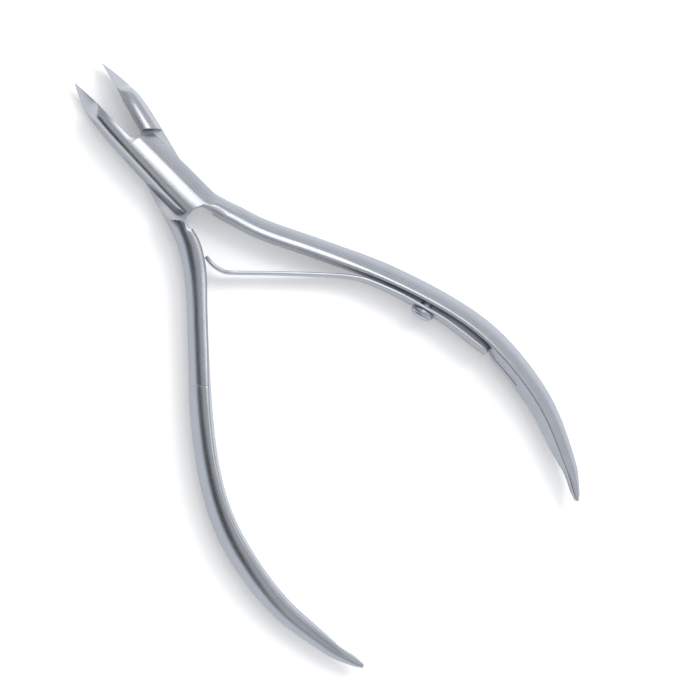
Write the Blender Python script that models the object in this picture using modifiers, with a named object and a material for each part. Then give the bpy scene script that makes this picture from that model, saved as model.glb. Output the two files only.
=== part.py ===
"""Cuticle nipper with a lap joint, a leaf spring and plain curved handles.

Frame: metres, +Z up. The origin is on the pivot axis at the level the nipper lies on, +Y points to
the jaw tips and +X to the right handle. Both levers are drawn closed, in millimetres, with the
cutting edges meeting in the plane X = 0, and are then swung open about the pivot.
"""

import math

import bmesh
import bpy
from mathutils import Matrix, Vector

MM = 0.001
COLLECTION = "cuticle_nipper"

# Opening of each lever from the closed pose, as the nipper lies open.
LEVER_SWING_DEG = 7.65

# Lap joint.
LAP_LEVEL = 3.25
LAP_GAP = 0.08

# Levels that the cutters start and end at, clear of the levers' underside and top.
BELOW = -1.0
ABOVE = 8.0

# Pivot rivet, flush under the joint and blind in the upper lever.
PIVOT_RADIUS = 1.5
PIVOT_HEAD_RADIUS = 2.0
PIVOT_HEAD_LIP = 0.35
PIVOT_HEAD_HEIGHT = 0.95
PIVOT_LENGTH = 5.2
PIVOT_CLEARANCE = 0.05
PIVOT_STEPS = 32

# Leaf spring, which lies off the handle by the seat gap, and its rivet.
SPRING_SEAT_GAP = 0.3
SPRING_THICKNESS = 0.5
SPRING_SEAT_WIDTH = 4.8
SPRING_TIP_WIDTH = 1.8
SPRING_RIVET_RADIUS = 0.9
SPRING_RIVET_HEAD_RADIUS = 1.9
SPRING_RIVET_HEAD_HEIGHT = 1.4
SPRING_RIVET_RIM = 0.75
SPRING_RIVET_DEPTH = 1.4
SPRING_RIVET_CLEARANCE = 0.1

ARC_STEPS = 4
DOME_STEPS = 6
STATION_STEP = 1.6
SPRING_STEP = 1.0

# A section's shape as fractions of its width and height: the level of its widest line, then the
# flare, shoulder width and shoulder drop of its outer side and of its inner side, the shoulder
# width and drop of its underside, and how round the shoulders are (1 elliptical, 0 straight).
SHAPE_KEYS = (
    "level", "flare_out", "shoulder_out", "drop_out", "flare_in", "shoulder_in", "drop_in",
    "under_out", "under_drop_out", "under_in", "under_drop_in", "bulge_out", "bulge_in",
)
BLADE = (0.30, 0.03, 0.46, 0.90, 0.03, 0.46, 0.90, 0.20, 0.50, 0.20, 0.50, 0.10, 0.10)
NOSE = (0.42, 0.04, 0.32, 0.62, 0.04, 0.28, 0.50, 0.14, 0.30, 0.14, 0.30, 0.50, 0.80)
HEAD = (0.50, 0.03, 0.36, 0.62, 0.09, 0.25, 0.42, 0.12, 0.26, 0.12, 0.26, 0.40, 0.85)
NECK = (0.50, 0.18, 0.44, 0.45, 0.05, 0.12, 0.14, 0.40, 0.36, 0.11, 0.12, 0.40, 0.90)
GRIP = (0.50, 0.26, 0.53, 0.45, 0.03, 0.11, 0.10, 0.50, 0.38, 0.09, 0.10, 0.45, 0.90)
TIP = (0.50, 0.15, 0.45, 0.45, 0.12, 0.26, 0.30, 0.45, 0.45, 0.26, 0.30, 1.00, 1.00)

# Stations of a lever from its jaw tip to its handle tip: outer edge x and y, width, top and
# bottom levels, and shape. The head is symmetric, so there the width is twice the outer x. Its
# sections lie across the pivot axis, and over the neck they turn square to the handle.
HEAD_END = -7.5
NECK_TURN = 4.0
STATIONS = (
    (0.10, 19.60, 0.20, 1.95, 1.50, BLADE),
    (0.95, 17.80, 1.90, 2.80, 1.00, BLADE),
    (2.05, 14.90, 4.10, 4.10, 0.50, BLADE),
    (2.37, 13.60, 4.74, 5.05, 0.35, NOSE),
    (2.64, 12.40, 5.28, 5.75, 0.20, HEAD),
    (2.95, 9.40, 5.90, 6.25, 0.05, HEAD),
    (3.10, 6.00, 6.20, 6.49, 0.01, HEAD),
    (3.25, 1.00, 6.50, 6.50, 0.00, HEAD),
    (3.35, -3.00, 6.70, 6.49, 0.01, HEAD),
    (3.40, -7.50, 6.60, 6.45, 0.05, HEAD),
    (3.70, -9.60, 3.00, 6.30, 0.20, NECK),
    (4.15, -11.60, 3.15, 6.15, 0.35, NECK),
    (5.80, -16.50, 3.20, 5.95, 0.55, NECK),
    (9.85, -24.60, 3.20, 6.00, 0.50, NECK),
    (15.55, -36.20, 3.10, 6.25, 0.25, GRIP),
    (19.50, -47.80, 3.15, 6.45, 0.05, GRIP),
    (20.63, -57.00, 3.35, 6.40, 0.10, GRIP),
    (19.05, -68.40, 3.05, 5.85, 0.65, GRIP),
    (14.60, -78.40, 2.25, 4.90, 1.60, GRIP),
    (11.80, -82.05, 1.50, 4.30, 2.20, TIP),
    (10.70, -83.00, 0.75, 3.95, 2.55, TIP),
)

# How far the joint is set to one side of the handles: each neck is bent over by this much in X,
# from the head's end to full, and back to nothing at the middle of the grip.
NECK_SET = 0.5
NECK_SET_RISE = 5.5
NECK_SET_FALL = (-22.0, -48.0)

# How far the inner wall of the right (1) and left (-1) handle stands out at mid height, and the
# stretches in y over which that grows and dies away.
HANDLE_FLARES = {
    1: (1.0, (-54.5, -58.5), (-73.0, -82.0)),
    -1: (0.45, (-24.0, -36.0), (-73.0, -82.0)),
}

# Extra width of the left handle's neck, the share of it that is on the outer side, and the
# stretches in y over which it grows and dies away.
LEFT_NECK_FILL = 0.40
LEFT_NECK_FILL_OUT = 0.25
LEFT_NECK_FILL_RISE = (-8.5, -12.5)
LEFT_NECK_FILL_FALL = (-13.5, -21.0)

# Outlines of the cuts in the upper lever seen from above, as x, y and corner radius. The lower
# lever has the same cuts mirrored. The first leaves the jaw and the front edge of the lap plate,
# the second the plate's rear edge and the arch, and the third is the half cut away at the lap.
JAW_CUT = (
    (5.0, 4.40, 0.0),
    (-0.30, 6.80, 1.2),
    (-0.25, 12.40, 4.0),
    (-0.02, 14.60, 4.0),
    (-0.02, 22.00, 0.0),
    (5.0, 22.00, 0.0),
)
ARCH_CUT = (
    (-4.6, -4.30, 0.0),
    (-2.75, -6.95, 0.8),
    (0.50, -8.05, 1.0),
    (0.90, -9.70, 1.2),
    (0.50, -11.60, 0.0),
    (-4.6, -13.00, 0.0),
)
LAP_CUT = (
    (-5.0, 4.85, 0.0),
    (0.0, 7.20, 0.0),
    (5.0, 7.20, 0.0),
    (5.0, -5.70, 0.0),
    (1.35, -8.30, 0.0),
    (1.35, -10.10, 0.3),
    (-5.0, -10.10, 0.0),
)

# Hollow grinding of the blades' inner faces: a cylinder along the cutting edge, sunk in the face
# below a narrow land.
GRIND_RADIUS = 9.0
GRIND_DEPTH = 0.35
GRIND_LAND = 0.25
GRIND_LENGTH = 14.0
EDGE_START = (14.9, 4.10)
EDGE_END = (19.6, 1.95)

# Centre line of the leaf spring from its tail on the right handle to its free end, x and y.
SPRING_PATH = (
    (16.60, -55.9),
    (15.45, -48.0),
    (14.42, -44.1),
    (13.15, -39.9),
    (12.00, -36.9),
    (10.75, -34.1),
    (9.20, -31.9),
    (6.70, -29.1),
    (1.60, -23.8),
    (-3.45, -18.75),
    (-4.15, -17.85),
    (-4.60, -16.5),
    (-4.70, -15.3),
    (-4.54, -14.15),
)
SPRING_RIVET_AT = 2
SPRING_TAPER_FROM = 3


def clear_scene():
    for existing in list(bpy.data.objects):
        bpy.data.objects.remove(existing, do_unlink=True)


def new_collection(name):
    made = bpy.data.collections.new(name)
    bpy.context.scene.collection.children.link(made)
    return made


def material(name, color, roughness, metallic=1.0):
    made = bpy.data.materials.new(name)
    made.use_nodes = True
    shader = made.node_tree.nodes["Principled BSDF"]
    shader.inputs["Base Color"].default_value = (*color, 1.0)
    shader.inputs["Roughness"].default_value = roughness
    shader.inputs["Metallic"].default_value = metallic
    return made


def mesh_object(name, mesh, collection, finish=None):
    made = bpy.data.objects.new(name, mesh)
    collection.objects.link(made)
    if finish:
        mesh.materials.append(finish)
        mesh.shade_smooth()
        mesh.set_sharp_from_angle(angle=math.radians(30))
    return made


def as_cutter(obj):
    obj.hide_render = True
    obj.display_type = "WIRE"
    return obj


def loft(name, rings):
    """Closed mesh through rings of equally many points, in millimetres, with flat caps."""
    build = bmesh.new()
    rows = [[build.verts.new(Vector(point) * MM) for point in ring] for ring in rings]
    count = len(rings[0])
    for row, following in zip(rows, rows[1:]):
        for i in range(count):
            j = (i + 1) % count
            build.faces.new((row[i], row[j], following[j], following[i]))
    build.faces.new(rows[0])
    build.faces.new(rows[-1])
    bmesh.ops.recalc_face_normals(build, faces=build.faces)
    mesh = bpy.data.meshes.new(name)
    build.to_mesh(mesh)
    build.free()
    return mesh


def rounded(outline, steps=5):
    """Outline with each corner replaced by an arc of its radius."""
    points = []
    count = len(outline)
    for i, (x, y, radius) in enumerate(outline):
        corner = Vector((x, y))
        if radius == 0:
            points.append(corner)
            continue
        back = (Vector(outline[i - 1][:2]) - corner).normalized()
        ahead = (Vector(outline[(i + 1) % count][:2]) - corner).normalized()
        half = back.angle(ahead) / 2
        centre = corner + (back + ahead).normalized() * (radius / math.sin(half))
        first = (corner + back * (radius / math.tan(half)) - centre).normalized()
        last = (corner + ahead * (radius / math.tan(half)) - centre).normalized()
        for k in range(steps + 1):
            points.append(centre + first.slerp(last, k / steps) * radius)
    return points


def prism(name, outline, low, high, side=1):
    """Upright prism on a rounded outline, mirrored in X where side is -1."""
    corners = [(side * x + neck_set(y), y) for x, y in rounded(outline)]
    rings = [[(x, y, level) for x, y in corners] for level in (low, high)]
    return loft(name, rings)


def turned(name, profile, collection, steps=PIVOT_STEPS):
    """Solid turned about Z from a profile of radius, height points, given from top to bottom."""
    build = bmesh.new()
    points = [build.verts.new((radius * MM, 0, height * MM)) for radius, height in profile]
    for first, second in zip(points, points[1:]):
        build.edges.new((first, second))
    mesh = bpy.data.meshes.new(name)
    build.to_mesh(mesh)
    build.free()
    made = bpy.data.objects.new(name, mesh)
    collection.objects.link(made)
    screw = made.modifiers.new("turn", "SCREW")
    screw.steps = steps
    screw.render_steps = steps
    screw.use_merge_vertices = True
    screw.merge_threshold = 0.00001
    screw.use_smooth_shade = True
    return made


def limited(slope, keys, lengths, i, k):
    """Slope of value k at key i, kept from overshooting the keys on either side."""
    if i in (0, len(keys) - 1):
        return slope
    behind = (keys[i][k] - keys[i - 1][k]) / (lengths[i] - lengths[i - 1])
    ahead = (keys[i + 1][k] - keys[i][k]) / (lengths[i + 1] - lengths[i])
    if behind * ahead <= 0:
        return 0.0
    most = 3 * min(abs(behind), abs(ahead))
    return math.copysign(min(abs(slope), most), ahead)


def smooth_path(keys, step):
    """Points on a smooth curve through keys, whose first two values are x and y."""
    lengths = [0.0]
    for first, second in zip(keys, keys[1:]):
        lengths.append(lengths[-1] + math.dist(first[:2], second[:2]))
    slopes = []
    for i in range(len(keys)):
        before = max(i - 1, 0)
        after = min(i + 1, len(keys) - 1)
        run = lengths[after] - lengths[before]
        slope = [(b - a) / run for a, b in zip(keys[before], keys[after])]
        for k in range(2, len(slope)):
            slope[k] = limited(slope[k], keys, lengths, i, k)
        slopes.append(slope)
    points = []
    for i in range(len(keys) - 1):
        run = lengths[i + 1] - lengths[i]
        count = max(1, round(run / step))
        for k in range(count):
            t = k / count
            basis = (
                (1 + 2 * t) * (1 - t) ** 2,
                t * (1 - t) ** 2 * run,
                t * t * (3 - 2 * t),
                t * t * (t - 1) * run,
            )
            values = zip(keys[i], slopes[i], keys[i + 1], slopes[i + 1])
            points.append([sum(b * v for b, v in zip(basis, row)) for row in values])
    points.append(list(keys[-1]))
    return points


def shoulder(side_x, side_z, crown_x, crown_z, bulge):
    """Points from a wall's end to the crown's edge, between a chord and a quarter ellipse."""
    points = []
    for k in range(ARC_STEPS + 1):
        t = k / ARC_STEPS
        angle = t * math.pi / 2
        across = bulge * (1 - math.cos(angle)) + (1 - bulge) * t
        up = bulge * math.sin(angle) + (1 - bulge) * t
        points.append((side_x + across * (crown_x - side_x), side_z + up * (crown_z - side_z)))
    return points


def section(width, top, bottom, shape, flare):
    """Closed section as (inward distance from the outer edge, level) points."""
    value = dict(zip(SHAPE_KEYS, shape))
    level = bottom + value["level"] * (top - bottom)
    points = [(0.0, level)]
    for crown, out_run, out_drop, in_run, in_drop, order in (
        (top, "shoulder_out", "drop_out", "shoulder_in", "drop_in", 1),
        (bottom, "under_out", "under_drop_out", "under_in", "under_drop_in", -1),
    ):
        flare_out = value["flare_out"] * width
        flare_in = width - value["flare_in"] * width
        outer = shoulder(
            flare_out,
            crown - value[out_drop] * (crown - level),
            flare_out + value[out_run] * width,
            crown,
            value["bulge_out"],
        )
        inner = shoulder(
            flare_in,
            crown - value[in_drop] * (crown - level),
            flare_in - value[in_run] * width,
            crown,
            value["bulge_in"],
        )
        half = outer + inner[::-1]
        if order > 0:
            points += half + [(width + flare, level)]
        else:
            points += half[::-1]
    return points


def ramp(value, start, end):
    """Smooth step from 0 at start to 1 at end."""
    t = min(1.0, max(0.0, (value - start) / (end - start)))
    return t * t * (3 - 2 * t)


def neck_set(y):
    """Sideways set of a neck at y."""
    rise = ramp(y, HEAD_END, HEAD_END - NECK_SET_RISE)
    return NECK_SET * rise * (1 - ramp(y, *NECK_SET_FALL))


def inner_flare(side, y):
    """How far a handle's inner wall stands out at mid height at y."""
    most, rise, fall = HANDLE_FLARES[side]
    return most * ramp(y, *rise) * (1 - ramp(y, *fall))


def left_neck_fill(y):
    """Extra width of the left handle's neck at y."""
    return LEFT_NECK_FILL * ramp(y, *LEFT_NECK_FILL_RISE) * (1 - ramp(y, *LEFT_NECK_FILL_FALL))


def lever_mesh(name, side):
    """Whole lever with its handle on the given side (+1 right, -1 left), before it is cut."""
    keys = [(x, y, width, top, bottom, *shape) for x, y, width, top, bottom, shape in STATIONS]
    path = smooth_path(keys, STATION_STEP)
    rings = []
    for i, row in enumerate(path):
        x, y, width, top, bottom = row[:5]
        before = path[max(i - 1, 0)]
        after = path[min(i + 1, len(path) - 1)]
        along = Vector((after[0] - before[0], after[1] - before[1])).normalized()
        turn = min(1.0, max(0.0, (HEAD_END - y) / NECK_TURN))
        inward = Vector((-1.0, 0.0)).lerp(Vector((along.y, -along.x)), turn).normalized()
        if side < 0:
            width += left_neck_fill(y)
            x += LEFT_NECK_FILL_OUT * left_neck_fill(y)
        points = section(width, top, bottom, row[5:], inner_flare(side, y))
        shift = neck_set(y)
        rings.append([(side * (x + inward.x * u) + shift, y + inward.y * u, z) for u, z in points])
    return loft(name, rings)


def cut(obj, tool):
    """Boolean difference that moves with the object it cuts."""
    as_cutter(tool)
    tool.parent = obj
    modifier = obj.modifiers.new(tool.name, "BOOLEAN")
    modifier.operation = "DIFFERENCE"
    modifier.solver = "EXACT"
    modifier.object = tool


def grinding_tool(name, side):
    """Cylinder that hollows the blade's inner face below the land along its cutting edge."""
    slope = Vector((0, EDGE_END[0] - EDGE_START[0], EDGE_END[1] - EDGE_START[1])).normalized()
    below = Vector((0, slope.z, -slope.y))
    middle = Vector((0, (EDGE_START[0] + EDGE_END[0]) / 2, (EDGE_START[1] + EDGE_END[1]) / 2))
    reach = GRIND_RADIUS - GRIND_DEPTH
    half_chord = math.sqrt(GRIND_RADIUS**2 - reach**2)
    centre = middle + below * (half_chord + GRIND_LAND) + Vector((side * reach, 0, 0))
    build = bmesh.new()
    bmesh.ops.create_cone(
        build,
        cap_ends=True,
        segments=96,
        radius1=GRIND_RADIUS * MM,
        radius2=GRIND_RADIUS * MM,
        depth=GRIND_LENGTH * MM,
    )
    turn = Vector((0, 0, 1)).rotation_difference(slope).to_matrix().to_4x4()
    bmesh.ops.transform(build, matrix=Matrix.Translation(centre * MM) @ turn, verts=build.verts)
    mesh = bpy.data.meshes.new(name)
    build.to_mesh(mesh)
    build.free()
    return mesh


def pivot_profile(grow, top):
    """Outline of the pivot rivet, or of its hole where it grows by the clearance."""
    lip = PIVOT_HEAD_LIP
    bottom = BELOW if grow else 0.0
    return (
        (0.0, top),
        (PIVOT_RADIUS + grow, top),
        (PIVOT_RADIUS + grow, PIVOT_HEAD_HEIGHT + grow),
        (PIVOT_HEAD_RADIUS + grow, lip + grow),
        (PIVOT_HEAD_RADIUS + grow, bottom),
        (0.0, bottom),
    )


def make_lever(name, side, lap_low, lap_high, finish):
    lever = mesh_object(name, lever_mesh(name, side), parts, finish)
    hole = pivot_profile(PIVOT_CLEARANCE, PIVOT_LENGTH + PIVOT_CLEARANCE)
    cut(lever, turned(f"{name}_pivot_hole", hole, cutters))
    for tool_name, outline, low, high in (
        ("jaw_cut", JAW_CUT, BELOW, ABOVE),
        ("arch_cut", ARCH_CUT, BELOW, ABOVE),
        ("lap_cut", LAP_CUT, lap_low, lap_high),
    ):
        tool_name = f"{name}_{tool_name}"
        tool = mesh_object(tool_name, prism(tool_name, outline, low, high, side), cutters)
        cut(lever, tool)
    tool_name = f"{name}_grinding"
    cut(lever, mesh_object(tool_name, grinding_tool(tool_name, side), cutters))
    lever.rotation_euler.z = side * math.radians(LEVER_SWING_DEG)
    return lever


def make_pivot_rivet(upper_lever, finish):
    rivet = turned("pivot_rivet", pivot_profile(0.0, PIVOT_LENGTH), parts)
    rivet.data.materials.append(finish)
    rivet.parent = upper_lever
    return rivet


def spring_frame():
    """Place of the spring rivet: origin on the leaf's centre line, +Z away from the handle."""
    before = Vector(SPRING_PATH[SPRING_RIVET_AT - 1])
    here = Vector(SPRING_PATH[SPRING_RIVET_AT])
    after = Vector(SPRING_PATH[SPRING_RIVET_AT + 1])
    along = (after - before).normalized()
    out = Vector((-along.y, along.x, 0.0))
    turn = Vector((0, 0, 1)).rotation_difference(out).to_matrix().to_4x4()
    return Matrix.Translation(Vector((here.x, here.y, LAP_LEVEL)) * MM) @ turn


def make_leaf_spring(upper_lever, finish):
    """Strip with a solidified middle surface, narrower towards its free end."""
    taper = [max(0, i - SPRING_TAPER_FROM) for i in range(len(SPRING_PATH))]
    keys = [(x, y, part / taper[-1]) for (x, y), part in zip(SPRING_PATH, taper)]
    build = bmesh.new()
    rows = []
    for x, y, part in smooth_path(keys, SPRING_STEP):
        half = (SPRING_SEAT_WIDTH + part * (SPRING_TIP_WIDTH - SPRING_SEAT_WIDTH)) / 2
        levels = (LAP_LEVEL - half, LAP_LEVEL + half)
        rows.append([build.verts.new(Vector((x, y, z)) * MM) for z in levels])
    for row, following in zip(rows, rows[1:]):
        build.faces.new((row[0], row[1], following[1], following[0]))
    mesh = bpy.data.meshes.new("leaf_spring")
    build.to_mesh(mesh)
    build.free()
    spring = mesh_object("leaf_spring", mesh, parts, finish)
    solid = spring.modifiers.new("thickness", "SOLIDIFY")
    solid.thickness = SPRING_THICKNESS * MM
    solid.offset = 0.0
    solid.use_even_offset = True
    spring.parent = upper_lever
    radius = SPRING_RIVET_RADIUS + SPRING_RIVET_CLEARANCE
    reach = 4 * SPRING_THICKNESS
    profile = ((0, reach), (radius, reach), (radius, -reach), (0, -reach))
    hole = turned("leaf_spring_hole", profile, cutters)
    cut(spring, hole)
    hole.matrix_parent_inverse = Matrix.Identity(4)
    hole.matrix_basis = spring_frame()
    return spring


def make_spring_rivet(upper_lever, finish):
    """Domed head on the leaf, with its shank through the leaf and into the handle."""
    base = SPRING_THICKNESS / 2 + SPRING_RIVET_CLEARANCE
    dome = SPRING_RIVET_HEAD_HEIGHT - SPRING_RIVET_RIM
    profile = [(0.0, base + SPRING_RIVET_HEAD_HEIGHT)]
    for k in range(1, DOME_STEPS + 1):
        angle = k / DOME_STEPS * math.pi / 2
        level = base + SPRING_RIVET_RIM + dome * math.cos(angle)
        profile.append((SPRING_RIVET_HEAD_RADIUS * math.sin(angle), level))
    end = -(SPRING_THICKNESS / 2 + SPRING_SEAT_GAP + SPRING_RIVET_DEPTH)
    profile += [
        (SPRING_RIVET_HEAD_RADIUS, base),
        (SPRING_RIVET_RADIUS, base),
        (SPRING_RIVET_RADIUS, end),
        (0.0, end),
    ]
    rivet = turned("spring_rivet", profile, parts)
    rivet.data.materials.append(finish)
    rivet.parent = upper_lever
    rivet.matrix_basis = spring_frame()
    radius = SPRING_RIVET_RADIUS + SPRING_RIVET_CLEARANCE
    floor = end - SPRING_RIVET_CLEARANCE
    mouth = SPRING_RIVET_HEAD_HEIGHT
    profile = ((0, mouth), (radius, mouth), (radius, floor), (0, floor))
    hole = turned("handle_rivet_hole", profile, cutters)
    cut(upper_lever, hole)
    hole.matrix_basis = spring_frame()
    return rivet


clear_scene()
parts = new_collection(COLLECTION)
cutters = new_collection("cutters")
lever_steel = material("satin_steel", (0.62, 0.64, 0.68), 0.30)
spring_steel = material("spring_steel", (0.66, 0.67, 0.70), 0.25)
rivet_steel = material("rivet_steel", (0.55, 0.56, 0.60), 0.35)
pivot_steel = material("pivot_steel", (0.58, 0.60, 0.63), 0.35)
upper = make_lever("upper_lever", 1, BELOW, LAP_LEVEL + LAP_GAP / 2, lever_steel)
make_lever("lower_lever", -1, LAP_LEVEL - LAP_GAP / 2, ABOVE, lever_steel)
make_pivot_rivet(upper, pivot_steel)
make_leaf_spring(upper, spring_steel)
make_spring_rivet(upper, rivet_steel)
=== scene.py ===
"""Looks of the cuticle nipper: finely lofted levers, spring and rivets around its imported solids.

Shapes are made in millimetres in the levers' closed frame: the pivot axis is X = Y = 0, +Y points to
the jaw tips and Z = 0 is the level that the nipper lies on. Each is then swung open and scaled.
"""
import math

import bmesh
import bpy
from mathutils import Matrix, Vector


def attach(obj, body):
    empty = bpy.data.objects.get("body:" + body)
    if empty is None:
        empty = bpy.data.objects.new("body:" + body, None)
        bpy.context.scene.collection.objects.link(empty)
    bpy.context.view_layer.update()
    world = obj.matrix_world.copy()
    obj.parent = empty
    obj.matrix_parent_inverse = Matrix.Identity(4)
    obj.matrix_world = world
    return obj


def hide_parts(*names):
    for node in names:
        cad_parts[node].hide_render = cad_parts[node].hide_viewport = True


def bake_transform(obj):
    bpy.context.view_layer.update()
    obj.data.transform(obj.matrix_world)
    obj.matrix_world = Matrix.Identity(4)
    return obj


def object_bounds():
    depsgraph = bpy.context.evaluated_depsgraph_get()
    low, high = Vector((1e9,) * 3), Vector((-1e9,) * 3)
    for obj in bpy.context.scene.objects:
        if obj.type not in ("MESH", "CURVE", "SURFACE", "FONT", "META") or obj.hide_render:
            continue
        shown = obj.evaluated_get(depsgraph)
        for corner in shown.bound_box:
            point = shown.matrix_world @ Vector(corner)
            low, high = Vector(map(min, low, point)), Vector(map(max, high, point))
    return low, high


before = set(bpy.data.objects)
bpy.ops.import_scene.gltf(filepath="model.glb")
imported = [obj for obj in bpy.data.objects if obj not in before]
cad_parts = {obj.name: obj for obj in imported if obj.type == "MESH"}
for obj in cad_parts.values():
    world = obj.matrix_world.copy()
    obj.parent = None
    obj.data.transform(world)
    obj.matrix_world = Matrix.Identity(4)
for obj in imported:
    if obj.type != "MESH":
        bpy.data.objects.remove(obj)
cad_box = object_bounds()

MM = 0.001

# Opening of each lever from the closed pose, as the nipper lies open.
LEVER_SWING_DEG = 7.65

# Lap joint.
LAP_LEVEL = 3.25
LAP_GAP = 0.08

# Levels that the cutters start and end at, clear of the levers' underside and top.
BELOW = -1.0
ABOVE = 8.0

# How finely the surfaces are made: points in a shoulder's or a corner's round, steps along a lever
# and along the leaf, and steps round a turned piece and round the grinding cylinder.
ARC_STEPS = 10
CORNER_STEPS = 12
STATION_STEP = 0.5
SPRING_STEP = 0.35
TURN_STEPS = 96
GRIND_STEPS = 360

# Finish of the edges: the bevel, the angle that counts as sharp, and the distance within which
# points left by a cut are merged first.
BEVEL_WIDTH = 0.05
BEVEL_SEGMENTS = 2
SHARP_ANGLE = math.radians(28)
MERGE_DISTANCE = 0.002

# Fine groove round the left handle, where it was joined before grinding. The last value is its
# floor's share of its width.
SEAM_Y = -31.3
SEAM_HALF = 0.09
SEAM_DEPTH = 0.07
SEAM_FLOOR = 0.35

# Score along the right handle's inner wall, behind the spring's tail. Its faces are painted near-black
# as painted shade in the groove.
SCORE_FROM = -55.9
SCORE_TO = -63.1
SCORE_LEVEL = 4.2
SCORE_HALF = 0.09
SCORE_DEPTH = 0.15

# Pivot rivet, flush under the joint and blind in the upper lever. Its head has a fine turned
# groove, given by the radii of its edges and floor as fractions of the head's radius.
PIVOT_RADIUS = 1.5
PIVOT_HEAD_RADIUS = 2.0
PIVOT_HEAD_LIP = 0.35
PIVOT_HEAD_HEIGHT = 0.95
PIVOT_LENGTH = 5.2
PIVOT_CLEARANCE = 0.05
PIVOT_CHAMFER = 0.24
PIVOT_HEAD_CHAMFER = 0.06
PIVOT_GROOVE = (0.62, 0.60, 0.56, 0.54)
PIVOT_GROOVE_DEPTH = 0.05

# Leaf spring, which lies off the handle by the seat gap. Its edges are rounded, and over the last
# stretch at each end it narrows by a share of its width.
SPRING_SEAT_GAP = 0.3
SPRING_THICKNESS = 0.5
SPRING_SEAT_WIDTH = 4.8
SPRING_TIP_WIDTH = 1.8
SPRING_EDGE = 0.14
SPRING_EDGE_STEPS = 4
SPRING_END_LENGTH = 0.9
SPRING_END_NARROWING = 0.22

# Spring rivet: a shallow dome with a rounded brim, and a shank in a hole whose cutter reaches out
# of the handle by the mouth.
SPRING_RIVET_RADIUS = 0.9
SPRING_RIVET_HEAD_RADIUS = 1.9
SPRING_RIVET_DOME_RADIUS = 1.52
SPRING_RIVET_HEAD_HEIGHT = 1.4
SPRING_RIVET_BRIM = 0.80
SPRING_RIVET_HEAD_CHAMFER = 0.05
SPRING_RIVET_DEPTH = 1.4
SPRING_RIVET_CHAMFER = 0.15
SPRING_RIVET_CLEARANCE = 0.1
SPRING_RIVET_HOLE_MOUTH = 1.0
DOME_STEPS = 18
BRIM_STEPS = 8

# Radius of the small flat that closes a turned piece on its axis.
AXIS_FLAT = 0.02

# A section's shape as fractions of its width and height: the level of its widest line, then the
# flare, shoulder width and shoulder drop of its outer side and of its inner side, the shoulder
# width and drop of its underside, and how round the shoulders are (1 elliptical, 0 straight).
SHAPE_KEYS = (
    "level", "flare_out", "shoulder_out", "drop_out", "flare_in", "shoulder_in", "drop_in",
    "under_out", "under_drop_out", "under_in", "under_drop_in", "bulge_out", "bulge_in",
)
BLADE = (0.30, 0.03, 0.46, 0.90, 0.03, 0.46, 0.90, 0.20, 0.50, 0.20, 0.50, 0.10, 0.10)
NOSE = (0.42, 0.04, 0.32, 0.62, 0.04, 0.28, 0.50, 0.14, 0.30, 0.14, 0.30, 0.50, 0.80)
HEAD = (0.50, 0.03, 0.36, 0.62, 0.09, 0.25, 0.42, 0.12, 0.26, 0.12, 0.26, 0.40, 0.85)
NECK = (0.50, 0.18, 0.44, 0.45, 0.05, 0.12, 0.14, 0.40, 0.36, 0.11, 0.12, 0.40, 0.90)
GRIP = (0.50, 0.26, 0.53, 0.45, 0.03, 0.11, 0.10, 0.50, 0.38, 0.09, 0.10, 0.45, 0.90)
TIP = (0.50, 0.15, 0.45, 0.45, 0.12, 0.26, 0.30, 0.45, 0.45, 0.26, 0.30, 1.00, 1.00)

# Stations of a lever from its jaw tip to its handle tip: outer edge x and y, width, top and
# bottom levels, and shape. The head is symmetric, so there the width is twice the outer x. Its
# sections lie across the pivot axis, and over the neck they turn square to the handle.
HEAD_END = -7.5
NECK_TURN = 4.0
STATIONS = (
    (0.10, 19.60, 0.20, 1.95, 1.50, BLADE),
    (0.95, 17.80, 1.90, 2.80, 1.00, BLADE),
    (2.05, 14.90, 4.10, 4.10, 0.50, BLADE),
    (2.37, 13.60, 4.74, 5.05, 0.35, NOSE),
    (2.64, 12.40, 5.28, 5.75, 0.20, HEAD),
    (2.95, 9.40, 5.90, 6.25, 0.05, HEAD),
    (3.10, 6.00, 6.20, 6.49, 0.01, HEAD),
    (3.25, 1.00, 6.50, 6.50, 0.00, HEAD),
    (3.35, -3.00, 6.70, 6.49, 0.01, HEAD),
    (3.40, -7.50, 6.60, 6.45, 0.05, HEAD),
    (3.70, -9.60, 3.00, 6.30, 0.20, NECK),
    (4.15, -11.60, 3.15, 6.15, 0.35, NECK),
    (5.80, -16.50, 3.20, 5.95, 0.55, NECK),
    (9.85, -24.60, 3.20, 6.00, 0.50, NECK),
    (15.55, -36.20, 3.10, 6.25, 0.25, GRIP),
    (19.50, -47.80, 3.15, 6.45, 0.05, GRIP),
    (20.63, -57.00, 3.35, 6.40, 0.10, GRIP),
    (19.05, -68.40, 3.05, 5.85, 0.65, GRIP),
    (14.60, -78.40, 2.25, 4.90, 1.60, GRIP),
    (11.80, -82.05, 1.50, 4.30, 2.20, TIP),
    (10.70, -83.00, 0.75, 3.95, 2.55, TIP),
)

# How far the joint is set to one side of the handles: each neck is bent over by this much in X,
# from the head's end to full, and back to nothing at the middle of the grip.
NECK_SET = 0.5
NECK_SET_RISE = 5.5
NECK_SET_FALL = (-22.0, -48.0)

# How far the inner wall of the right (1) and left (-1) handle stands out at mid height, and the
# stretches in y over which that grows and dies away.
HANDLE_FLARES = {
    1: (1.0, (-54.5, -58.5), (-73.0, -82.0)),
    -1: (0.45, (-24.0, -36.0), (-73.0, -82.0)),
}

# Extra width of the left handle's neck, the share of it that is on the outer side, and the
# stretches in y over which it grows and dies away.
LEFT_NECK_FILL = 0.40
LEFT_NECK_FILL_OUT = 0.25
LEFT_NECK_FILL_RISE = (-8.5, -12.5)
LEFT_NECK_FILL_FALL = (-13.5, -21.0)

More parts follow.
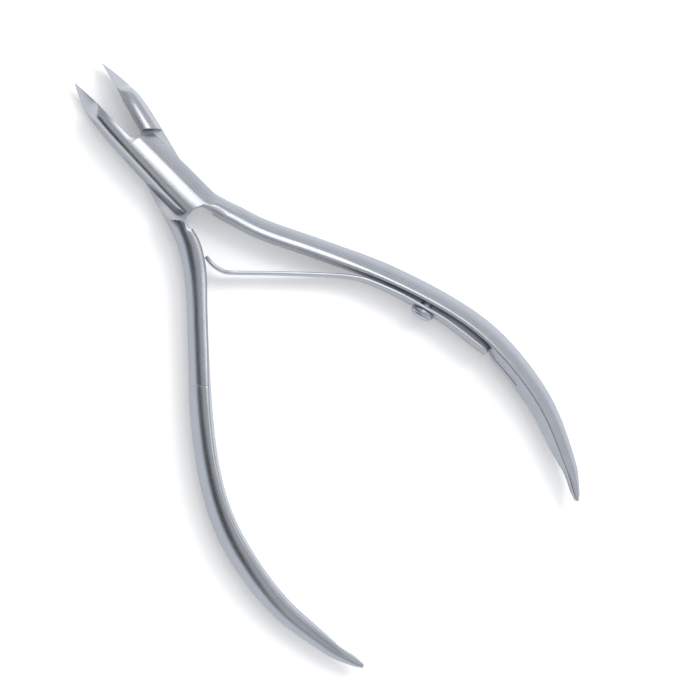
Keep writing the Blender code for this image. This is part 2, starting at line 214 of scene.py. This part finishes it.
# Outlines of the cuts in the upper lever seen from above, as x, y and corner radius. The lower
# lever has the same cuts mirrored. The first leaves the jaw and the front edge of the lap plate,
# the second the plate's rear edge and the arch, and the third is the half cut away at the lap.
JAW_CUT = (
    (5.0, 4.40, 0.0),
    (-0.30, 6.80, 1.2),
    (-0.25, 12.40, 4.0),
    (-0.02, 14.60, 4.0),
    (-0.02, 22.00, 0.0),
    (5.0, 22.00, 0.0),
)
ARCH_CUT = (
    (-4.6, -4.30, 0.0),
    (-2.75, -6.95, 0.8),
    (0.50, -8.05, 1.0),
    (0.90, -9.70, 1.2),
    (0.50, -11.60, 0.0),
    (-4.6, -13.00, 0.0),
)
LAP_CUT = (
    (-5.0, 4.85, 0.0),
    (0.0, 7.20, 0.0),
    (5.0, 7.20, 0.0),
    (5.0, -5.70, 0.0),
    (1.35, -8.30, 0.0),
    (1.35, -10.10, 0.3),
    (-5.0, -10.10, 0.0),
)

# Hollow grinding of the blades' inner faces: a cylinder along the cutting edge, sunk in the face
# below a narrow land.
GRIND_RADIUS = 9.0
GRIND_DEPTH = 0.35
GRIND_LAND = 0.25
GRIND_LENGTH = 14.0
EDGE_START = (14.9, 4.10)
EDGE_END = (19.6, 1.95)

# Centre line of the leaf spring from its tail on the right handle to its free end, x and y, and
# the points of it that the rivet is at, that it narrows from and that it bends from.
SPRING_PATH = (
    (16.60, -55.9),
    (15.45, -48.0),
    (14.42, -44.1),
    (13.15, -39.9),
    (12.00, -36.9),
    (10.75, -34.1),
    (9.20, -31.9),
    (6.70, -29.1),
    (1.60, -23.8),
    (-3.45, -18.75),
    (-4.15, -17.85),
    (-4.60, -16.5),
    (-4.70, -15.3),
    (-4.54, -14.15),
)
SPRING_RIVET_AT = 2
SPRING_TAPER_FROM = 3

# Steel. Its grain follows a map of each surface in millimetres along the piece and round it, and
# its clouds and fine speckle are sized by their number per metre. Most values of a noise lie
# between the low and the high one, and over them the roughness changes by the spread either way.
GRAIN = "grain"
CLOUDS_PER_METRE = 350.0
SPECKLES_PER_METRE = 5200.0
NOISE_LOW = 0.3
NOISE_HIGH = 0.7
ROUGHNESS_SPREAD = 0.14
RELIEF = 0.00002

# Brightness of the surroundings by how far a direction leans to the left, from -1 to 1: pale on
# the right, a little dimmer overhead and dark low on the left. The tint is faintly blue.
LEFTWARD = (-0.95, 0.30, 0.0)
ROOM = (
    (-1.0, 0.82),
    (-0.15, 0.86),
    (0.02, 0.66),
    (0.35, 0.56),
    (0.52, 0.72),
    (0.72, 0.70),
    (0.84, 0.10),
    (0.999, 0.08),
)
ROOM_TINT = (0.97, 0.985, 1.0)

# Softboxes: place and size in metres, and power in watts. Both face the middle of the nipper. The
# key lights the floor and the satin without a reflection of its own.
NIPPER_MIDDLE = (0.007, -0.035, 0.0)
TOP_BOX = ((0.165, 0.075, 0.57), (0.24, 0.26), 0.45)
KEY_BOX = ((0.42, -0.06, 0.54), (0.20, 0.25), 1.7)

# Floor, in metres: its half side, and its own glow, which keeps it nearly white.
FLOOR_REACH = 3.0
FLOOR_COLOR = (0.93, 0.93, 0.935, 1)
FLOOR_GLOW = 0.21

# Camera: place and target in millimetres, and the turn of the image's right edge from +X.
CAMERA_AT = (-53.6, -22.1, 470.6)
CAMERA_TARGET = (7.2, -40.0, 0.0)
CAMERA_HEADING_DEG = -37.04
CAMERA_LENS = 154.3


# Materials.

def new_material(name):
    made = bpy.data.materials.new(name)
    made.use_nodes = True
    return made, made.node_tree.nodes, made.node_tree.links


def node(nodes, kind, **values):
    """Node with its inputs set by name. A key that isn't an input is one of its properties."""
    made = nodes.new(kind)
    for key, value in values.items():
        if key in made.inputs:
            made.inputs[key].default_value = value
        else:
            setattr(made, key, value)
    return made


def map_range(nodes, links, source, low, high, start=NOISE_LOW, end=NOISE_HIGH):
    """Output that runs from low to high while the source runs from start to end."""
    made = node(nodes, "ShaderNodeMapRange")
    made.inputs["From Min"].default_value = start
    made.inputs["From Max"].default_value = end
    made.inputs["To Min"].default_value = low
    made.inputs["To Max"].default_value = high
    links.new(source, made.inputs["Value"])
    return made.outputs["Result"]


def steel(name, color, roughness, along, across, bump, mottle=0.06, speckle=0.0):
    """Ground steel: grain drawn out along each surface, and faint mottling.

    The grain's scale is given along and across the piece, per millimetre. The mottle is how much
    the colour varies, and the speckle how much of the grain is a fine even one instead.
    """
    made, nodes, links = new_material(name)
    shader = nodes["Principled BSDF"]
    shader.inputs["Metallic"].default_value = 1.0
    uv = node(nodes, "ShaderNodeUVMap", uv_map=GRAIN)
    stretch = node(nodes, "ShaderNodeMapping", Scale=(along, across, 1.0))
    links.new(uv.outputs["UV"], stretch.inputs["Vector"])
    grain = node(nodes, "ShaderNodeTexNoise", Scale=1.0, Detail=5.0, Roughness=0.65)
    links.new(stretch.outputs["Vector"], grain.inputs["Vector"])
    solid = node(nodes, "ShaderNodeTexCoord")
    cloud = node(nodes, "ShaderNodeTexNoise", Scale=CLOUDS_PER_METRE, Detail=3.0, Roughness=0.5)
    links.new(solid.outputs["Object"], cloud.inputs["Vector"])

    height = grain.outputs["Fac"]
    if speckle:
        fine = node(nodes, "ShaderNodeTexNoise", Scale=SPECKLES_PER_METRE, Detail=4.0, Roughness=0.7)
        links.new(solid.outputs["Object"], fine.inputs["Vector"])
        both = node(nodes, "ShaderNodeMix", data_type="FLOAT")
        both.inputs["Factor"].default_value = speckle
        links.new(height, both.inputs["A"])
        links.new(fine.outputs["Fac"], both.inputs["B"])
        height = both.outputs["Result"]

    tone = map_range(nodes, links, height, 1.0 - mottle, 1.0 + mottle)
    shade = map_range(nodes, links, cloud.outputs["Fac"], 1.0 - mottle / 2, 1.0 + mottle / 2)
    product = node(nodes, "ShaderNodeMath", operation="MULTIPLY")
    links.new(tone, product.inputs[0])
    links.new(shade, product.inputs[1])
    paint = node(nodes, "ShaderNodeVectorMath", operation="SCALE")
    paint.inputs[0].default_value = color
    links.new(product.outputs["Value"], paint.inputs["Scale"])
    links.new(paint.outputs["Vector"], shader.inputs["Base Color"])
    smoothest = roughness * (1 - ROUGHNESS_SPREAD)
    roughest = roughness * (1 + ROUGHNESS_SPREAD)
    uneven = map_range(nodes, links, height, smoothest, roughest)
    links.new(uneven, shader.inputs["Roughness"])
    relief = node(nodes, "ShaderNodeBump", Strength=bump, Distance=RELIEF)
    links.new(height, relief.inputs["Height"])
    links.new(relief.outputs["Normal"], shader.inputs["Normal"])
    return made


# Mesh building.

def loft(name, rings, finishes, finish_of=None, run=None):
    """Closed mesh through rings of equally many points, with flat caps and a grain map in mm."""
    build = bmesh.new()
    grain = build.loops.layers.uv.new(GRAIN)
    rows = [[build.verts.new(Vector(point)) for point in ring] for ring in rings]
    count = len(rings[0])
    run = run or list(range(len(rings)))
    girth = [[0.0] for _ in rings]
    for ring, lengths in zip(rings, girth):
        for i in range(count):
            lengths.append(lengths[-1] + math.dist(ring[i], ring[(i + 1) % count]))
    for r in range(len(rows) - 1):
        for i in range(count):
            j = (i + 1) % count
            face = build.faces.new((rows[r][i], rows[r][j], rows[r + 1][j], rows[r + 1][i]))
            spots = (
                (run[r], girth[r][i]),
                (run[r], girth[r][i + 1]),
                (run[r + 1], girth[r + 1][i + 1]),
                (run[r + 1], girth[r + 1][i]),
            )
            for corner, spot in zip(face.loops, spots):
                corner[grain].uv = spot
            if finish_of:
                face.material_index = finish_of(i)
    for row in (rows[0], rows[-1]):
        cap = build.faces.new(row)
        for corner in cap.loops:
            corner[grain].uv = corner.vert.co.xy
    bmesh.ops.recalc_face_normals(build, faces=build.faces)
    mesh = bpy.data.meshes.new(name)
    build.to_mesh(mesh)
    build.free()
    for finish in finishes:
        mesh.materials.append(finish)
    return mesh


def new_object(name, mesh):
    made = bpy.data.objects.new(name, mesh)
    bpy.context.scene.collection.objects.link(made)
    return made


def rounded(outline, steps=CORNER_STEPS):
    """Outline with each corner replaced by an arc of its radius."""
    points = []
    count = len(outline)
    for i, (x, y, radius) in enumerate(outline):
        corner = Vector((x, y))
        if radius == 0:
            points.append(corner)
            continue
        back = (Vector(outline[i - 1][:2]) - corner).normalized()
        ahead = (Vector(outline[(i + 1) % count][:2]) - corner).normalized()
        half = back.angle(ahead) / 2
        centre = corner + (back + ahead).normalized() * (radius / math.sin(half))
        first = (corner + back * (radius / math.tan(half)) - centre).normalized()
        last = (corner + ahead * (radius / math.tan(half)) - centre).normalized()
        for k in range(steps + 1):
            points.append(centre + first.slerp(last, k / steps) * radius)
    return points


def prism(name, outline, low, high, side, finish):
    """Upright prism on a rounded outline, mirrored in X where side is -1."""
    corners = [(side * x + neck_set(y), y) for x, y in rounded(outline)]
    rings = [[(x, y, level) for x, y in corners] for level in (low, high)]
    return loft(name, rings, [finish], run=[low, high])


def turned(name, profile, finish, steps=TURN_STEPS):
    """Solid turned about Z from radius and height points, from the top down."""
    rings = []
    run = [0.0]
    for first, second in zip(profile, profile[1:]):
        run.append(run[-1] + math.dist(first, second))
    for radius, height in profile:
        ring = []
        for k in range(steps):
            angle = 2 * math.pi * k / steps
            ring.append((radius * math.cos(angle), radius * math.sin(angle), height))
        rings.append(ring)
    return loft(name, rings, [finish], run=run)


def limited(slope, keys, lengths, i, k):
    """Slope of value k at key i, kept from overshooting the keys on either side."""
    if i in (0, len(keys) - 1):
        return slope
    behind = (keys[i][k] - keys[i - 1][k]) / (lengths[i] - lengths[i - 1])
    ahead = (keys[i + 1][k] - keys[i][k]) / (lengths[i + 1] - lengths[i])
    if behind * ahead <= 0:
        return 0.0
    most = 3 * min(abs(behind), abs(ahead))
    return math.copysign(min(abs(slope), most), ahead)


def smooth_path(keys, step):
    """Points on a smooth curve through keys, whose first two values are x and y."""
    lengths = [0.0]
    for first, second in zip(keys, keys[1:]):
        lengths.append(lengths[-1] + math.dist(first[:2], second[:2]))
    slopes = []
    for i in range(len(keys)):
        before = max(i - 1, 0)
        after = min(i + 1, len(keys) - 1)
        run = lengths[after] - lengths[before]
        slope = [(b - a) / run for a, b in zip(keys[before], keys[after])]
        for k in range(2, len(slope)):
            slope[k] = limited(slope[k], keys, lengths, i, k)
        slopes.append(slope)
    points = []
    for i in range(len(keys) - 1):
        run = lengths[i + 1] - lengths[i]
        count = max(1, round(run / step))
        for k in range(count):
            t = k / count
            basis = (
                (1 + 2 * t) * (1 - t) ** 2,
                t * (1 - t) ** 2 * run,
                t * t * (3 - 2 * t),
                t * t * (t - 1) * run,
            )
            values = zip(keys[i], slopes[i], keys[i + 1], slopes[i + 1])
            points.append([sum(b * v for b, v in zip(basis, row)) for row in values])
    points.append(list(keys[-1]))
    return points


def run_along(points):
    """Distance from the first point to each, seen from above."""
    run = [0.0]
    for first, second in zip(points, points[1:]):
        run.append(run[-1] + math.dist(first[:2], second[:2]))
    return run


def shoulder(side_x, side_z, crown_x, crown_z, bulge):
    """Points from a wall's end to the crown's edge, between a chord and a quarter ellipse."""
    points = []
    for k in range(ARC_STEPS + 1):
        t = k / ARC_STEPS
        angle = t * math.pi / 2
        across = bulge * (1 - math.cos(angle)) + (1 - bulge) * t
        up = bulge * math.sin(angle) + (1 - bulge) * t
        points.append((side_x + across * (crown_x - side_x), side_z + up * (crown_z - side_z)))
    return points


def section(width, top, bottom, shape, flare):
    """Closed section as (inward distance from the outer edge, level) points."""
    value = dict(zip(SHAPE_KEYS, shape))
    level = bottom + value["level"] * (top - bottom)
    points = [(0.0, level)]
    for crown, out_run, out_drop, in_run, in_drop, order in (
        (top, "shoulder_out", "drop_out", "shoulder_in", "drop_in", 1),
        (bottom, "under_out", "under_drop_out", "under_in", "under_drop_in", -1),
    ):
        flare_out = value["flare_out"] * width
        flare_in = width - value["flare_in"] * width
        outer = shoulder(
            flare_out,
            crown - value[out_drop] * (crown - level),
            flare_out + value[out_run] * width,
            crown,
            value["bulge_out"],
        )
        inner = shoulder(
            flare_in,
            crown - value[in_drop] * (crown - level),
            flare_in - value[in_run] * width,
            crown,
            value["bulge_in"],
        )
        half = outer + inner[::-1]
        if order > 0:
            points += half + [(width + flare, level)]
        else:
            points += half[::-1]
    return points


def ramp(value, start, end):
    """Smooth step from 0 at start to 1 at end."""
    t = min(1.0, max(0.0, (value - start) / (end - start)))
    return t * t * (3 - 2 * t)


def neck_set(y):
    """Sideways set of a neck at y."""
    rise = ramp(y, HEAD_END, HEAD_END - NECK_SET_RISE)
    return NECK_SET * rise * (1 - ramp(y, *NECK_SET_FALL))


def inner_flare(side, y):
    """How far a handle's inner wall stands out at mid height at y."""
    most, rise, fall = HANDLE_FLARES[side]
    return most * ramp(y, *rise) * (1 - ramp(y, *fall))


def left_neck_fill(y):
    """Extra width of the left handle's neck at y."""
    return LEFT_NECK_FILL * ramp(y, *LEFT_NECK_FILL_RISE) * (1 - ramp(y, *LEFT_NECK_FILL_FALL))


def between(first, second, part):
    """Values a part of the way from the first row to the second."""
    return [a + part * (b - a) for a, b in zip(first, second)]


def with_seam(path):
    """Path with stations added across the seam; the two in the groove are marked with its depth."""
    rows = [(row, 0.0) for row in path]
    for i in range(len(path) - 1):
        if path[i][1] > SEAM_Y >= path[i + 1][1]:
            run = path[i][1] - path[i + 1][1]
            middle = (path[i][1] - SEAM_Y) / run
            added = []
            edges = ((-1, 0.0), (-SEAM_FLOOR, SEAM_DEPTH), (SEAM_FLOOR, SEAM_DEPTH), (1, 0.0))
            for offset, depth in edges:
                part = middle + offset * SEAM_HALF / run
                added.append((between(path[i], path[i + 1], part), depth))
            return rows[: i + 1] + added + rows[i + 1 :]
    return rows


def lever_rings(side, seam=False):
    """Sections of a whole lever with its handle on the given side, and the run along them."""
    keys = [(x, y, width, top, bottom, *shape) for x, y, width, top, bottom, shape in STATIONS]
    path = smooth_path(keys, STATION_STEP)
    rows = with_seam(path) if seam else [(row, 0.0) for row in path]
    rings = []
    for i, (row, depth) in enumerate(rows):
        x, y, width, top, bottom = row[:5]
        before = rows[max(i - 1, 0)][0]
        after = rows[min(i + 1, len(rows) - 1)][0]
        along = Vector((after[0] - before[0], after[1] - before[1])).normalized()
        turn = min(1.0, max(0.0, (HEAD_END - y) / NECK_TURN))
        inward = Vector((-1.0, 0.0)).lerp(Vector((along.y, -along.x)), turn).normalized()
        if side < 0:
            width += left_neck_fill(y)
            x += LEFT_NECK_FILL_OUT * left_neck_fill(y)
        points = section(width - 2 * depth, top - depth, bottom + depth, row[5:], inner_flare(side, y))
        shift = neck_set(y)
        ring = []
        for u, z in points:
            ring.append((side * (x + inward.x * (u + depth)) + shift, y + inward.y * (u + depth), z))
        rings.append(ring)
    return rings, run_along([row for row, _ in rows])


def flank_or_crown(i):
    """Finish of a lever's face by its place round the section: ground flanks, polished crown."""
    crown_from = 1 + ARC_STEPS // 2
    crown_to = 2 * ARC_STEPS + 2
    return 1 if crown_from <= i < crown_to else 0


def cut_with(obj, tools):
    """Applies exact differences and gives the result a new mesh."""
    for tool in tools:
        modifier = obj.modifiers.new(tool.name, "BOOLEAN")
        modifier.operation = "DIFFERENCE"
        modifier.solver = "EXACT"
        modifier.material_mode = "TRANSFER"
        modifier.object = tool
    apply_all(obj)
    for tool in tools:
        bpy.data.objects.remove(tool, do_unlink=True)


def apply_all(obj):
    """Gives the object the mesh that its modifiers make."""
    bpy.context.view_layer.update()
    graph = bpy.context.evaluated_depsgraph_get()
    mesh = bpy.data.meshes.new_from_object(obj.evaluated_get(graph))
    obj.modifiers.clear()
    obj.data = mesh


def soften(obj, width):
    """Rounds the sharp edges a little and shades the rest smooth."""
    build = bmesh.new()
    build.from_mesh(obj.data)
    bmesh.ops.remove_doubles(build, verts=build.verts, dist=MERGE_DISTANCE)
    bmesh.ops.dissolve_degenerate(build, edges=build.edges, dist=MERGE_DISTANCE)
    build.to_mesh(obj.data)
    build.free()
    if width:
        bevel = obj.modifiers.new("edges", "BEVEL")
        bevel.width = width
        bevel.segments = BEVEL_SEGMENTS
        bevel.limit_method = "ANGLE"
        bevel.angle_limit = SHARP_ANGLE
        apply_all(obj)
    obj.data.shade_smooth()
    obj.data.set_sharp_from_angle(angle=SHARP_ANGLE)


def place(obj, side):
    """Swings a finished mesh open with its lever, and scales it from millimetres."""
    swing = Matrix.Rotation(side * math.radians(LEVER_SWING_DEG), 4, "Z")
    obj.data.transform(Matrix.Scale(MM, 4) @ swing)


# The pieces.

def grinding_tool(name, side, finish):
    """Cylinder that hollows the blade's inner face below the land along its cutting edge."""
    slope = Vector((0, EDGE_END[0] - EDGE_START[0], EDGE_END[1] - EDGE_START[1])).normalized()
    below = Vector((0, slope.z, -slope.y))
    middle = Vector((0, (EDGE_START[0] + EDGE_END[0]) / 2, (EDGE_START[1] + EDGE_END[1]) / 2))
    reach = GRIND_RADIUS - GRIND_DEPTH
    half_chord = math.sqrt(GRIND_RADIUS**2 - reach**2)
    centre = middle + below * (half_chord + GRIND_LAND) + Vector((side * reach, 0, 0))
    half = GRIND_LENGTH / 2
    mesh = turned(name, ((GRIND_RADIUS, half), (GRIND_RADIUS, -half)), finish, GRIND_STEPS)
    turn = Vector((0, 0, 1)).rotation_difference(slope).to_matrix().to_4x4()
    mesh.transform(Matrix.Translation(centre) @ turn)
    return mesh


def score_tool(name, finish):
    """Thin square bar along the right handle's inner wall."""
    rings, _ = lever_rings(1)
    # The inner wall's point at mid height. The one before it is the lower end of the shoulder.
    inner_wall = 2 * ARC_STEPS + 3
    line = []
    for ring in rings:
        middle = Vector(ring[inner_wall])
        upper = Vector(ring[inner_wall - 1])
        part = (SCORE_LEVEL - middle.z) / (upper.z - middle.z)
        if SCORE_TO <= middle.y <= SCORE_FROM:
            line.append(middle.lerp(upper, part))
    bars = []
    for i, point in enumerate(line):
        before = Vector(line[max(i - 1, 0)])
        after = Vector(line[min(i + 1, len(line) - 1)])
        along = (after - before).normalized()
        out = Vector((-along.y, along.x, 0))
        bar = []
        for across, level in ((-1, -1), (1, -1), (1, 1), (-1, 1)):
            spot = point + out * across * SCORE_DEPTH
            bar.append((spot.x, spot.y, SCORE_LEVEL + level * SCORE_HALF))
        bars.append(bar)
    return loft(name, bars, [finish])


def make_lever(name, side, lap_low, lap_high):
    """Lever with its cuts, satin with a polished crown, and with its own finish in each cut; the
    score's faces are painted near-black as painted shade.
    """
    rings, run = lever_rings(side, seam=side < 0)
    lever = new_object(name, loft(name, rings, [satin, polished], flank_or_crown, run))
    grow = PIVOT_CLEARANCE
    hole = (
        (PIVOT_RADIUS + grow, PIVOT_LENGTH + grow),
        (PIVOT_RADIUS + grow, PIVOT_HEAD_HEIGHT + grow),
        (PIVOT_HEAD_RADIUS + grow, PIVOT_HEAD_LIP + grow),
        (PIVOT_HEAD_RADIUS + grow, BELOW),
    )
    tools = [new_object("pivot_hole", turned("pivot_hole", hole, lap_steel))]
    for tool_name, outline, low, high, finish in (
        ("jaw_cut", JAW_CUT, BELOW, ABOVE, satin),
        ("arch_cut", ARCH_CUT, BELOW, ABOVE, satin),
        ("lap_cut", LAP_CUT, lap_low, lap_high, lap_steel),
    ):
        tools.append(new_object(tool_name, prism(tool_name, outline, low, high, side, finish)))
    tools.append(new_object("grinding", grinding_tool("grinding", side, hollow_ground)))
    if side > 0:
        # The score's faces take the near-black painted shade.
        tools.append(new_object("score", score_tool("score", painted_score_shade)))
        radius = SPRING_RIVET_RADIUS + SPRING_RIVET_CLEARANCE
        floor = -(SPRING_THICKNESS / 2 + SPRING_SEAT_GAP + SPRING_RIVET_DEPTH + SPRING_RIVET_CLEARANCE)
        hole = turned("rivet_hole", ((radius, SPRING_RIVET_HOLE_MOUTH), (radius, floor)), lap_steel)
        hole.transform(spring_frame())
        tools.append(new_object("rivet_hole", hole))
    cut_with(lever, tools)
    soften(lever, BEVEL_WIDTH)
    place(lever, side)
    return lever


def make_pivot_rivet():
    """Rivet with a fine turned groove in its flush head."""
    groove = [PIVOT_HEAD_RADIUS * part for part in PIVOT_GROOVE]
    profile = (
        (AXIS_FLAT, PIVOT_LENGTH),
        (PIVOT_RADIUS - PIVOT_CHAMFER, PIVOT_LENGTH),
        (PIVOT_RADIUS, PIVOT_LENGTH - PIVOT_CHAMFER),
        (PIVOT_RADIUS, PIVOT_HEAD_HEIGHT),
        (PIVOT_HEAD_RADIUS, PIVOT_HEAD_LIP),
        (PIVOT_HEAD_RADIUS, PIVOT_HEAD_CHAMFER),
        (PIVOT_HEAD_RADIUS - PIVOT_HEAD_CHAMFER, 0.0),
        (groove[0], 0.0),
        (groove[1], PIVOT_GROOVE_DEPTH),
        (groove[2], PIVOT_GROOVE_DEPTH),
        (groove[3], 0.0),
        (AXIS_FLAT, 0.0),
    )
    rivet = new_object("pivot_pin", turned("pivot_pin", profile, rivet_face))
    soften(rivet, 0)
    place(rivet, 1)
    return rivet


def spring_frame():
    """Place of the spring rivet: origin on the leaf's centre line, +Z away from the handle."""
    before = Vector(SPRING_PATH[SPRING_RIVET_AT - 1])
    here = Vector(SPRING_PATH[SPRING_RIVET_AT])
    after = Vector(SPRING_PATH[SPRING_RIVET_AT + 1])
    along = (after - before).normalized()
    out = Vector((-along.y, along.x, 0.0))
    turn = Vector((0, 0, 1)).rotation_difference(out).to_matrix().to_4x4()
    return Matrix.Translation(Vector((here.x, here.y, LAP_LEVEL))) @ turn


def strip_section(half_width):
    """Rounded rectangle of the leaf: (across the thickness, level) points."""
    half = SPRING_THICKNESS / 2
    points = []
    for across, up in ((1, 1), (-1, 1), (-1, -1), (1, -1)):
        for k in range(SPRING_EDGE_STEPS + 1):
            angle = (k / SPRING_EDGE_STEPS) * math.pi / 2
            if across * up < 0:
                angle = math.pi / 2 - angle
            x = across * (half - SPRING_EDGE + SPRING_EDGE * math.cos(angle))
            z = up * (half_width - SPRING_EDGE + SPRING_EDGE * math.sin(angle))
            points.append((x, z))
    return points


def make_leaf_spring():
    """Strip with rounded edges, narrower towards its free end, and its rivet's hole."""
    taper = [max(0, i - SPRING_TAPER_FROM) for i in range(len(SPRING_PATH))]
    keys = [(x, y, part / taper[-1]) for (x, y), part in zip(SPRING_PATH, taper)]
    path = smooth_path(keys, SPRING_STEP)
    rings = []
    last = len(path) - 1
    for i, (x, y, part) in enumerate(path):
        before = path[max(i - 1, 0)]
        after = path[min(i + 1, last)]
        along = Vector((after[0] - before[0], after[1] - before[1])).normalized()
        out = Vector((-along.y, along.x))
        half = (SPRING_SEAT_WIDTH + part * (SPRING_TIP_WIDTH - SPRING_SEAT_WIDTH)) / 2
        from_end = min(1.0, min(i, last - i) * SPRING_STEP / SPRING_END_LENGTH)
        half *= 1.0 - SPRING_END_NARROWING * (1 - from_end) ** 2
        ring = []
        for across, level in strip_section(half):
            ring.append((x + out.x * across, y + out.y * across, LAP_LEVEL + level))
        rings.append(ring)
    spring = new_object("spring_leaf", loft("spring_leaf", rings, [spring_steel], run=run_along(path)))
    radius = SPRING_RIVET_RADIUS + SPRING_RIVET_CLEARANCE
    reach = 4 * SPRING_THICKNESS
    hole = turned("leaf_hole", ((radius, reach), (radius, -reach)), spring_steel)
    hole.transform(spring_frame())
    cut_with(spring, [new_object("leaf_hole", hole)])
    soften(spring, 0)
    place(spring, 1)
    return spring


def make_spring_rivet():
    """Domed head on the leaf, with its shank through the leaf and into the handle."""
    base = SPRING_THICKNESS / 2 + SPRING_RIVET_CLEARANCE
    radius = SPRING_RIVET_HEAD_RADIUS
    top = base + SPRING_RIVET_HEAD_HEIGHT
    brim = base + SPRING_RIVET_BRIM
    profile = [(AXIS_FLAT, top)]
    for k in range(1, DOME_STEPS + 1):
        angle = k / DOME_STEPS * math.pi / 2
        level = brim + (top - brim) * math.cos(angle)
        profile.append((SPRING_RIVET_DOME_RADIUS * math.sin(angle), level))
    edge = radius - SPRING_RIVET_DOME_RADIUS
    for k in range(1, BRIM_STEPS + 1):
        angle = k / BRIM_STEPS * math.pi / 2
        level = brim - edge * (1 - math.cos(angle))
        profile.append((SPRING_RIVET_DOME_RADIUS + edge * math.sin(angle), level))
    end = -(SPRING_THICKNESS / 2 + SPRING_SEAT_GAP + SPRING_RIVET_DEPTH)
    profile += [
        (radius, base + SPRING_RIVET_HEAD_CHAMFER),
        (radius - SPRING_RIVET_HEAD_CHAMFER, base),
        (SPRING_RIVET_RADIUS, base),
        (SPRING_RIVET_RADIUS, end + SPRING_RIVET_CHAMFER),
        (SPRING_RIVET_RADIUS - SPRING_RIVET_CHAMFER, end),
        (AXIS_FLAT, end),
    ]
    rivet = new_object("spring_rivet_head", turned("spring_rivet_head", profile, rivet_face))
    rivet.data.transform(spring_frame())
    soften(rivet, 0)
    place(rivet, 1)
    return rivet


# Stage.

def white_floor():
    made, nodes, _ = new_material("floor_white")
    shader = nodes["Principled BSDF"]
    shader.inputs["Base Color"].default_value = FLOOR_COLOR
    shader.inputs["Roughness"].default_value = 0.9
    shader.inputs["Specular IOR Level"].default_value = 0.1
    shader.inputs["Emission Color"].default_value = (1, 1, 1, 1)
    shader.inputs["Emission Strength"].default_value = FLOOR_GLOW
    return made


def make_floor():
    build = bmesh.new()
    bmesh.ops.create_grid(build, x_segments=1, y_segments=1, size=FLOOR_REACH)
    mesh = bpy.data.meshes.new("floor")
    build.to_mesh(mesh)
    build.free()
    mesh.materials.append(white_floor())
    floor = new_object("floor", mesh)
    floor.location.z = cad_box[0].z


def softbox(name, location, size, energy, glossy=True):
    """Rectangular light that faces the nipper."""
    data = bpy.data.lights.new(name, "AREA")
    data.shape = "RECTANGLE"
    data.size = size[0]
    data.size_y = size[1]
    data.energy = energy
    lamp = bpy.data.objects.new(name, data)
    bpy.context.scene.collection.objects.link(lamp)
    lamp.location = location
    aim = Vector(NIPPER_MIDDLE) - Vector(location)
    lamp.rotation_euler = aim.to_track_quat("-Z", "Y").to_euler()
    lamp.visible_glossy = glossy


def make_world():
    """Surroundings that change only from right to left, as ROOM says."""
    world = bpy.data.worlds.new("studio")
    bpy.context.scene.world = world
    world.use_nodes = True
    nodes = world.node_tree.nodes
    links = world.node_tree.links
    direction = node(nodes, "ShaderNodeTexCoord")
    across = node(nodes, "ShaderNodeVectorMath", operation="DOT_PRODUCT")
    across.inputs[1].default_value = LEFTWARD
    links.new(direction.outputs["Generated"], across.inputs[0])
    lean = map_range(nodes, links, across.outputs["Value"], 0.0, 1.0, -1.0, 1.0)
    room = node(nodes, "ShaderNodeValToRGB")
    links.new(lean, room.inputs["Fac"])
    stops = room.color_ramp.elements
    for toward, level in ROOM:
        spot = (toward + 1) / 2
        stop = stops[0] if toward == -1.0 else stops.new(spot)
        stop.position = spot
        stop.color = (*[level * tint for tint in ROOM_TINT], 1.0)
    stops.remove(stops[-1])
    links.new(room.outputs["Color"], nodes["Background"].inputs["Color"])


def make_camera():
    """Long lens above the nipper, leaning a little to the left handle, with the image turned."""
    at = Vector(CAMERA_AT)
    heading = math.radians(CAMERA_HEADING_DEG)
    back = (at - Vector(CAMERA_TARGET)).normalized()
    lift = -(back.x * math.cos(heading) + back.y * math.sin(heading)) / back.z
    right = Vector((math.cos(heading), math.sin(heading), lift)).normalized()
    turn = Matrix((right, back.cross(right), back)).transposed()
    data = bpy.data.cameras.new("camera")
    data.lens = CAMERA_LENS
    data.sensor_width = 36.0
    data.clip_start = 0.01
    data.clip_end = 10.0
    camera = bpy.data.objects.new("camera", data)
    bpy.context.scene.collection.objects.link(camera)
    camera.matrix_world = Matrix.Translation(at * MM) @ turn.to_4x4()
    bpy.context.scene.camera = camera


satin = steel(
    "satin_flank", (0.385, 0.41, 0.46), roughness=0.34, along=1.2, across=4.0, bump=0.15,
    mottle=0.05, speckle=0.7,
)
polished = steel(
    "polished_crown", (0.455, 0.475, 0.515), roughness=0.27, along=0.25, across=10.0, bump=0.25,
)
lap_steel = steel(
    "lap_face", (0.55, 0.57, 0.60), roughness=0.5, along=1.5, across=5.0, bump=0.9,
    mottle=0.22, speckle=0.75,
)
# Near-black painted shade for the score's faces, in place of the shade inside the groove.
painted_score_shade = steel(
    "painted_score_shade", (0.10, 0.11, 0.13), roughness=0.5, along=1.5, across=5.0, bump=0.3,
)
hollow_ground = steel(
    "hollow_ground", (0.44, 0.47, 0.53), roughness=0.30, along=8.0, across=0.4, bump=0.4,
)
spring_steel = steel(
    "rolled_strip", (0.47, 0.50, 0.55), roughness=0.30, along=0.2, across=12.0, bump=0.25,
)
rivet_face = steel(
    "turned_rivet", (0.42, 0.44, 0.50), roughness=0.27, along=7.0, across=0.3, bump=0.5,
)

upper = make_lever("upper_forging", 1, BELOW, LAP_LEVEL + LAP_GAP / 2)
lower = make_lever("lower_forging", -1, LAP_LEVEL - LAP_GAP / 2, ABOVE)
pin = make_pivot_rivet()
leaf = make_leaf_spring()
head = make_spring_rivet()

for piece, body, cad_node, slot in (
    (upper, "upper", "upper_lever", "lever_steel"),
    (lower, "lower", "lower_lever", "lever_steel"),
    (pin, "upper", "pivot_rivet", "rivet_steel"),
    (head, "upper", "spring_rivet", "rivet_steel"),
):
    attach(piece, body)
    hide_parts(cad_node)
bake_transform(leaf)
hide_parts("leaf_spring")

make_floor()
make_world()
softbox("top_box", *TOP_BOX)
softbox("key_box", *KEY_BOX, glossy=False)
make_camera()
bpy.context.scene.view_settings.view_transform = "Standard"
